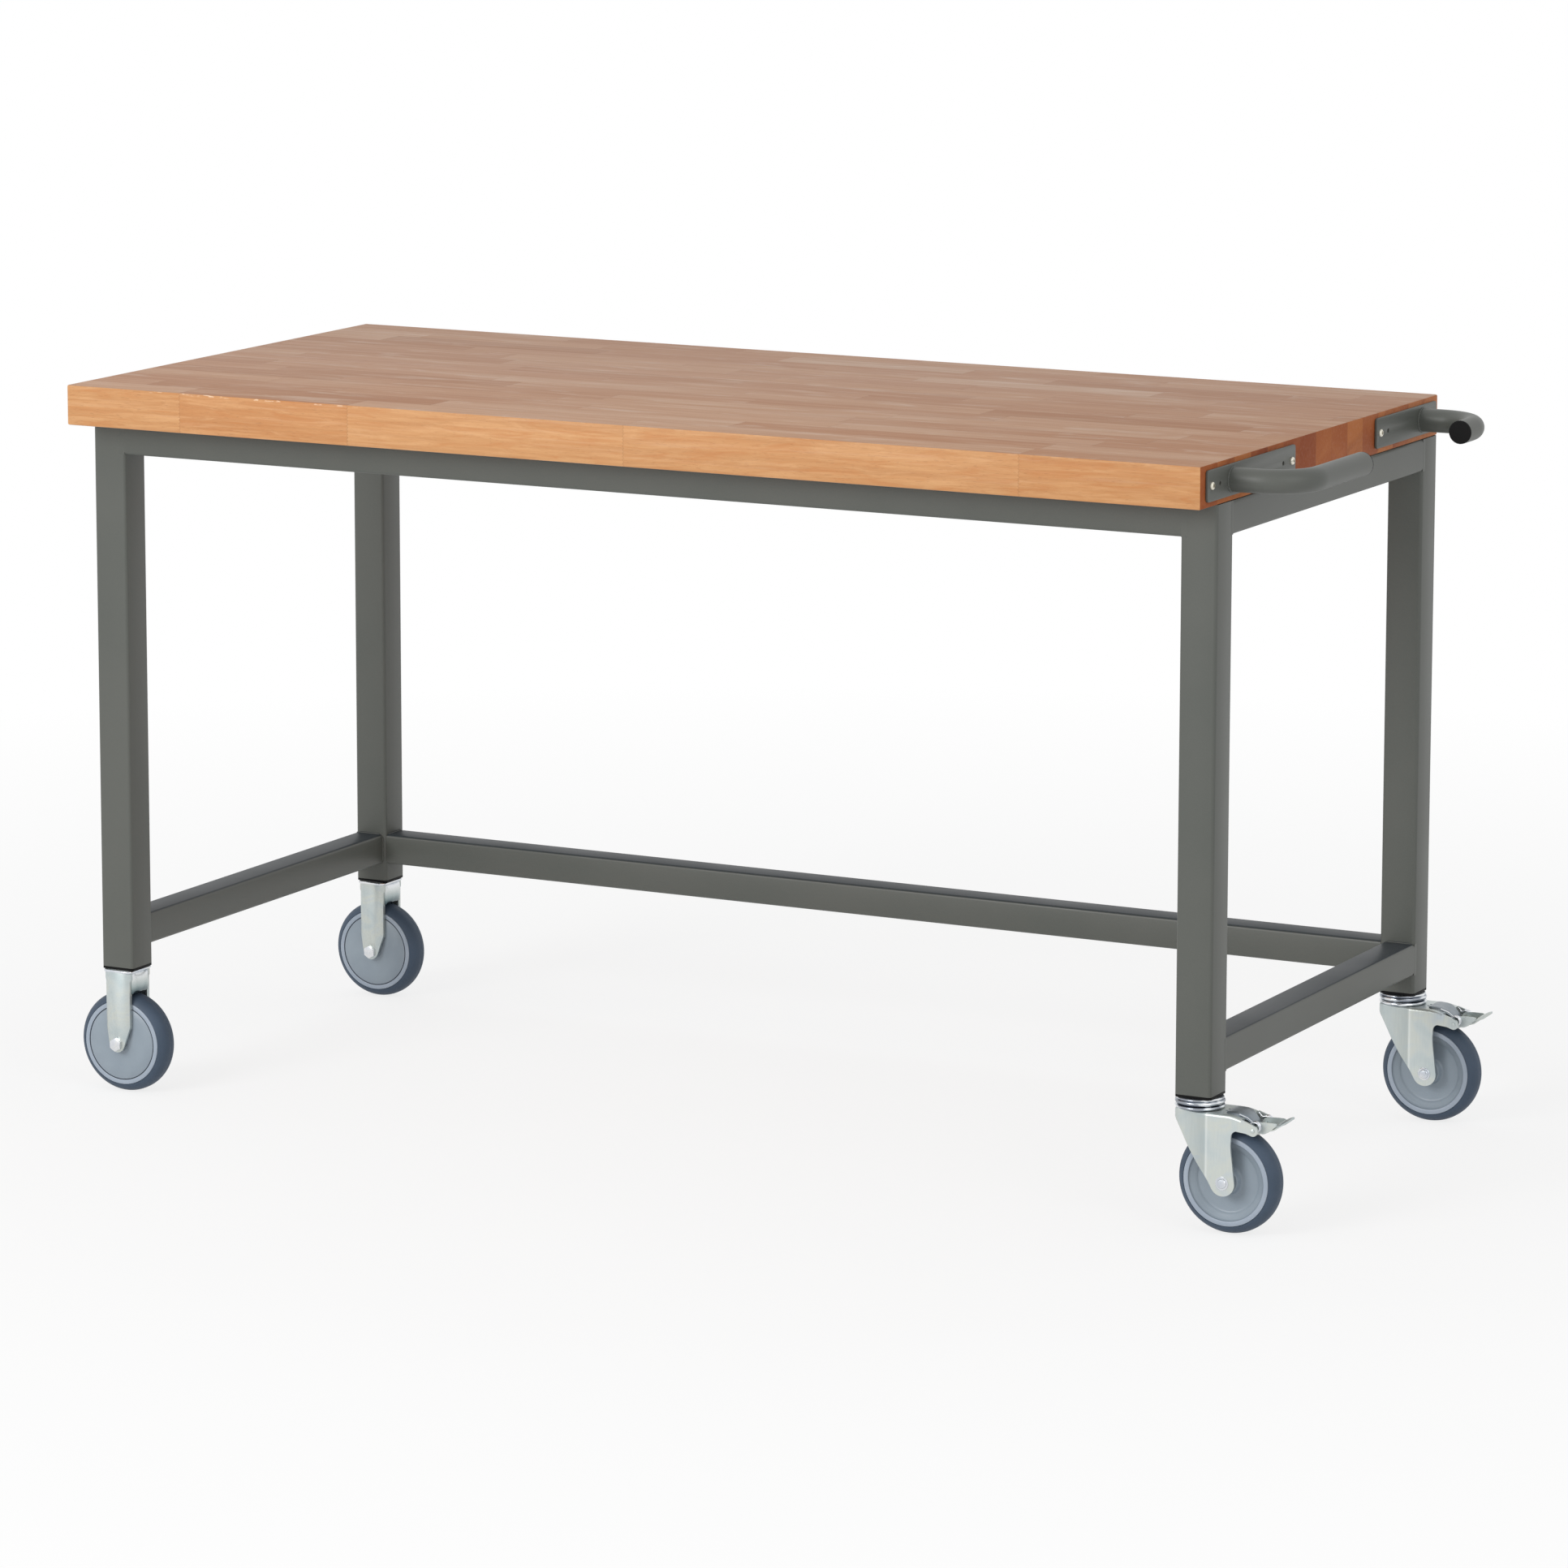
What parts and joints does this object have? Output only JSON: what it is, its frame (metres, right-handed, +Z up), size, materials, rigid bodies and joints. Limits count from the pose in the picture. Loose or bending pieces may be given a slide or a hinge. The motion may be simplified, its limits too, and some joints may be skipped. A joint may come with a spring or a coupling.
{
  "type": "mobile workbench",
  "caption": "Mobile workbench with a thick beech top on a square-tube frame, push handles, fixed castors at one end and braked swivel castors at the other.",
  "frame": {"origin": "on the floor under the middle of the bench's overall box", "axes": "+X along the length towards the handles and swivel castors, +Y from front to back, +Z up"},
  "size_m": [1.632, 0.7114, 0.887],
  "materials": {
    "beech": "oiled finger-jointed staves",
    "paint": "satin powder coat",
    "black_plastic": "moulded, matt",
    "zinc": "zinc-plated pressed sheet",
    "bright_zinc": "bright zinc-plated turned steel",
    "dark_zinc": "dull zinc-plated spring steel",
    "core_plastic": "moulded blue-grey plastic",
    "tread_rubber": "smooth grey-blue thermoplastic rubber"
  },
  "bodies": {
    "bench": {"fixed_back_bolt": "bright_zinc", "fixed_back_bracket": "zinc", "fixed_back_bush": "bright_zinc", "fixed_back_nut": "bright_zinc", "fixed_back_stem": "bright_zinc", "fixed_front_bolt": "bright_zinc", "fixed_front_bracket": "zinc", "fixed_front_bush": "bright_zinc", "fixed_front_nut": "bright_zinc", "fixed_front_stem": "bright_zinc", "handle_plate_back": "paint", "handle_plate_front": "paint", "handle_plug_back": "black_plastic", "handle_plug_front": "black_plastic", "handle_tube_back": "paint", "handle_tube_front": "paint", "insert_back_left": "black_plastic", "insert_back_right": "black_plastic", "insert_front_left": "black_plastic", "insert_front_right": "black_plastic", "leg_back_left": "paint", "leg_back_right": "paint", "leg_front_left": "paint", "leg_front_right": "paint", "low_rail_back": "paint", "low_rail_left": "paint", "low_rail_right": "paint", "swivel_back_race_top": "bright_zinc", "swivel_back_stem": "bright_zinc", "swivel_front_race_top": "bright_zinc", "swivel_front_stem": "bright_zinc", "top_rail_back": "paint", "top_rail_front": "paint", "top_rail_left": "paint", "top_rail_right": "paint", "worktop": "beech"},
    "fixed_wheel_front": {"fixed_front_core": "core_plastic", "fixed_front_tread": "tread_rubber"},
    "swivel_front": {"swivel_front_race_low": "bright_zinc", "swivel_front_fork": "zinc", "swivel_front_bush": "bright_zinc", "swivel_front_bolt": "bright_zinc", "swivel_front_nut": "bright_zinc", "swivel_front_brake_leaf": "dark_zinc"},
    "swivel_wheel_front": {"swivel_front_core": "core_plastic", "swivel_front_tread": "tread_rubber"},
    "brake_pedal_front": {"swivel_front_pedal": "zinc"},
    "fixed_wheel_back": {"fixed_back_core": "core_plastic", "fixed_back_tread": "tread_rubber"},
    "swivel_back": {"swivel_back_race_low": "bright_zinc", "swivel_back_fork": "zinc", "swivel_back_bush": "bright_zinc", "swivel_back_bolt": "bright_zinc", "swivel_back_nut": "bright_zinc", "swivel_back_brake_leaf": "dark_zinc"},
    "swivel_wheel_back": {"swivel_back_core": "core_plastic", "swivel_back_tread": "tread_rubber"},
    "brake_pedal_back": {"swivel_back_pedal": "zinc"}
  },
  "joints": [
    {"name": "fixed_spin_front", "type": "hinge", "parent": "bench", "child": "fixed_wheel_front", "pos_m": [-0.7535, -0.28515, 0.0625], "axis": [0, 1, 0], "continuous": true},
    {"name": "swivel_turn_front", "type": "hinge", "parent": "bench", "child": "swivel_front", "pos_m": [0.6955, -0.28515, 0.145], "axis": [0, 0, 1], "continuous": true},
    {"name": "swivel_spin_front", "type": "hinge", "parent": "swivel_front", "child": "swivel_wheel_front", "pos_m": [0.7351, -0.28515, 0.0625], "axis": [0, 1, 0], "continuous": true},
    {"name": "brake_press_front", "type": "hinge", "parent": "swivel_front", "child": "brake_pedal_front", "pos_m": [0.772, -0.28515, 0.1275], "axis": [0, 1, 0], "range_deg": [0, 20]},
    {"name": "fixed_spin_back", "type": "hinge", "parent": "bench", "child": "fixed_wheel_back", "pos_m": [-0.7535, 0.32185, 0.0625], "axis": [0, 1, 0], "continuous": true},
    {"name": "swivel_turn_back", "type": "hinge", "parent": "bench", "child": "swivel_back", "pos_m": [0.6955, 0.32185, 0.145], "axis": [0, 0, 1], "continuous": true},
    {"name": "swivel_spin_back", "type": "hinge", "parent": "swivel_back", "child": "swivel_wheel_back", "pos_m": [0.7351, 0.32185, 0.0625], "axis": [0, 1, 0], "continuous": true},
    {"name": "brake_press_back", "type": "hinge", "parent": "swivel_back", "child": "brake_pedal_back", "pos_m": [0.772, 0.32185, 0.1275], "axis": [0, 1, 0], "range_deg": [0, 20]}
  ]
}
